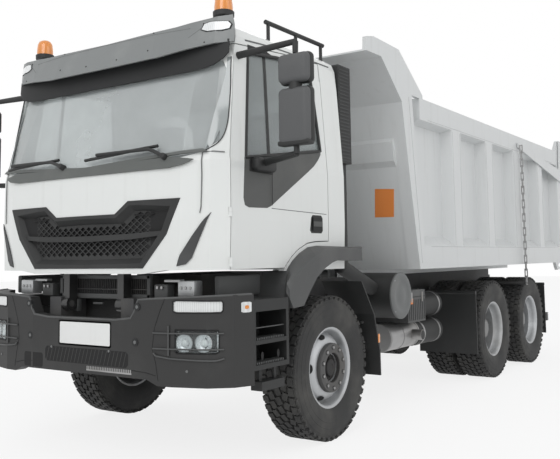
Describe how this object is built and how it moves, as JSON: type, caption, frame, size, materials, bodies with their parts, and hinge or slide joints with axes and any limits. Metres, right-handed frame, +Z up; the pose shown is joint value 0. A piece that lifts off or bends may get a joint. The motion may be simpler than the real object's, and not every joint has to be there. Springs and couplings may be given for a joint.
{
  "type": "three-axle dump truck",
  "caption": "Cab-over dump truck with a rear-tipping ribbed steel body, chain-worked tailgate, tilting cab, opening doors, steered front wheels and twin rear wheels.",
  "frame": {"origin": "middle of the truck's outline on the ground, with mirrors and tailgate counted", "axes": "-Y forward, +X to the truck's left, +Z up; the wheels turn about X"},
  "size_m": [3.4, 8.06, 3.2312],
  "materials": {
    "body_paint": "satin",
    "bed_paint": "satin",
    "black_plastic": "matte",
    "grey_plastic": "matte",
    "visor_grey": "satin",
    "frame_steel": "satin",
    "bare_steel": "brushed",
    "rim_silver": "satin",
    "tyre": "matte",
    "glass": "clear",
    "lamp_clear": "gloss",
    "amber": "gloss",
    "aluminium": "satin",
    "seat_cloth": "matte",
    "iron": "matte"
  },
  "bodies": {
    "chassis": {"chassis_frame": "frame_steel", "subframe": "frame_steel", "front_axle": "iron", "rear_axles": "iron", "leaf_springs": "iron", "engine_block": "iron", "driveline": "iron", "bumper": "black_plastic", "lamps": "lamp_clear", "cab_steps": "black_plastic", "mudguards": "black_plastic", "fuel_tank": "aluminium", "air_tanks": "frame_steel", "battery_box": "grey_plastic", "muffler": "bare_steel", "air_intake": "grey_plastic", "rear_bar": "frame_steel"},
    "cab": {"cab_shell": "body_paint", "windscreen": "glass", "grille": "grey_plastic", "visor": "visor_grey", "beacons": "amber", "roof_rails": "black_plastic", "fenders": "grey_plastic", "dashboard": "grey_plastic", "steering_wheel": "black_plastic", "seats": "seat_cloth"},
    "door_left": {"door_left": "body_paint", "door_glass_left": "glass", "mirrors_left": "black_plastic"},
    "door_right": {"door_right": "body_paint", "door_glass_right": "glass", "mirrors_right": "black_plastic"},
    "knuckle_left": {"knuckle_left": "iron"},
    "knuckle_right": {"knuckle_right": "iron"},
    "tie_rod": {"tie_rod": "iron"},
    "bed": {"tipper_body": "bed_paint"},
    "tailgate": {"tailgate": "bed_paint"},
    "chains": {"chains": "bare_steel"},
    "hoist_barrel": {"hoist_barrel": "frame_steel"},
    "hoist_rod": {"hoist_rod": "bare_steel"},
    "wheel_front_left": {"rim_front_left": "rim_silver", "tyre_front_left": "tyre"},
    "wheel_front_right": {"rim_front_right": "rim_silver", "tyre_front_right": "tyre"},
    "wheel_mid_left": {"rim_mid_left": "rim_silver", "tyre_mid_left": "tyre"},
    "wheel_mid_right": {"rim_mid_right": "rim_silver", "tyre_mid_right": "tyre"},
    "wheel_rear_left": {"rim_rear_left": "rim_silver", "tyre_rear_left": "tyre"},
    "wheel_rear_right": {"rim_rear_right": "rim_silver", "tyre_rear_right": "tyre"}
  },
  "joints": [
    {"name": "steer_left", "type": "hinge", "parent": "chassis", "child": "knuckle_left", "pos_m": [0.88, -2.6, 0.538], "axis": [0, 0, 1], "range_deg": [-35, 35]},
    {"name": "steer_right", "type": "hinge", "parent": "chassis", "child": "knuckle_right", "pos_m": [-0.88, -2.6, 0.538], "axis": [0, 0, 1], "range_deg": [-35, 35]},
    {"name": "tie_rod_turn", "type": "hinge", "parent": "knuckle_left", "child": "tie_rod", "pos_m": [0.88, -2.41, 0.432], "axis": [0, 0, 1], "range_deg": [-35, 35]},
    {"name": "wheel_front_left_spin", "type": "hinge", "parent": "knuckle_left", "child": "wheel_front_left", "pos_m": [1.024, -2.6, 0.538], "axis": [1, 0, 0], "continuous": true},
    {"name": "wheel_front_right_spin", "type": "hinge", "parent": "knuckle_right", "child": "wheel_front_right", "pos_m": [-1.024, -2.6, 0.538], "axis": [1, 0, 0], "continuous": true},
    {"name": "wheel_mid_left_spin", "type": "hinge", "parent": "chassis", "child": "wheel_mid_left", "pos_m": [0.909, 0.9, 0.538], "axis": [1, 0, 0], "continuous": true},
    {"name": "wheel_mid_right_spin", "type": "hinge", "parent": "chassis", "child": "wheel_mid_right", "pos_m": [-0.909, 0.9, 0.538], "axis": [1, 0, 0], "continuous": true},
    {"name": "wheel_rear_left_spin", "type": "hinge", "parent": "chassis", "child": "wheel_rear_left", "pos_m": [0.909, 2.28, 0.538], "axis": [1, 0, 0], "continuous": true},
    {"name": "wheel_rear_right_spin", "type": "hinge", "parent": "chassis", "child": "wheel_rear_right", "pos_m": [-0.909, 2.28, 0.538], "axis": [1, 0, 0], "continuous": true},
    {"name": "cab_tilt", "type": "hinge", "parent": "chassis", "child": "cab", "pos_m": [0, -3.89, 1.06], "axis": [1, 0, 0], "range_deg": [0, 60]},
    {"name": "door_left_hinge", "type": "hinge", "parent": "cab", "child": "door_left", "pos_m": [1.14, -3.79, 1.7], "axis": [0, 0, -1], "range_deg": [0, 70]},
    {"name": "door_right_hinge", "type": "hinge", "parent": "cab", "child": "door_right", "pos_m": [-1.14, -3.79, 1.7], "axis": [0, 0, 1], "range_deg": [0, 70]},
    {"name": "bed_tip", "type": "hinge", "parent": "chassis", "child": "bed", "pos_m": [0, 3.05, 1.175], "axis": [-1, 0, 0], "range_deg": [0, 50]},
    {"name": "tailgate_hinge", "type": "hinge", "parent": "bed", "child": "tailgate", "pos_m": [0, 3.906, 2.95], "axis": [1, 0, 0], "range_deg": [0, 25.09]},
    {"name": "chain_lean", "type": "hinge", "parent": "chassis", "child": "chains", "pos_m": [0, 1.93, 1.012], "axis": [-1, 0, 0], "range_deg": [0, 41.78]},
    {"name": "hoist_lean", "type": "hinge", "parent": "chassis", "child": "hoist_barrel", "pos_m": [0, 0.96, 0.905], "axis": [-1, 0, 0], "range_deg": [0, 75.03]},
    {"name": "hoist_slide", "type": "slide", "parent": "hoist_barrel", "child": "hoist_rod", "axis": [0, -0.9875, 0.1576], "range_m": [0, 1.4751]}
  ],
  "couplings": [
    {"joint": "steer_right", "follows": "steer_left", "ratio": 1},
    {"joint": "tie_rod_turn", "follows": "steer_left", "ratio": -1},
    {"joint": "tailgate_hinge", "follows": "bed_tip", "ratio": 0.5018},
    {"joint": "chain_lean", "follows": "bed_tip", "ratio": 0.8356},
    {"joint": "hoist_lean", "follows": "bed_tip", "ratio": 1.5006},
    {"joint": "hoist_slide", "follows": "bed_tip", "m_per_rad": 1.6903}
  ]
}
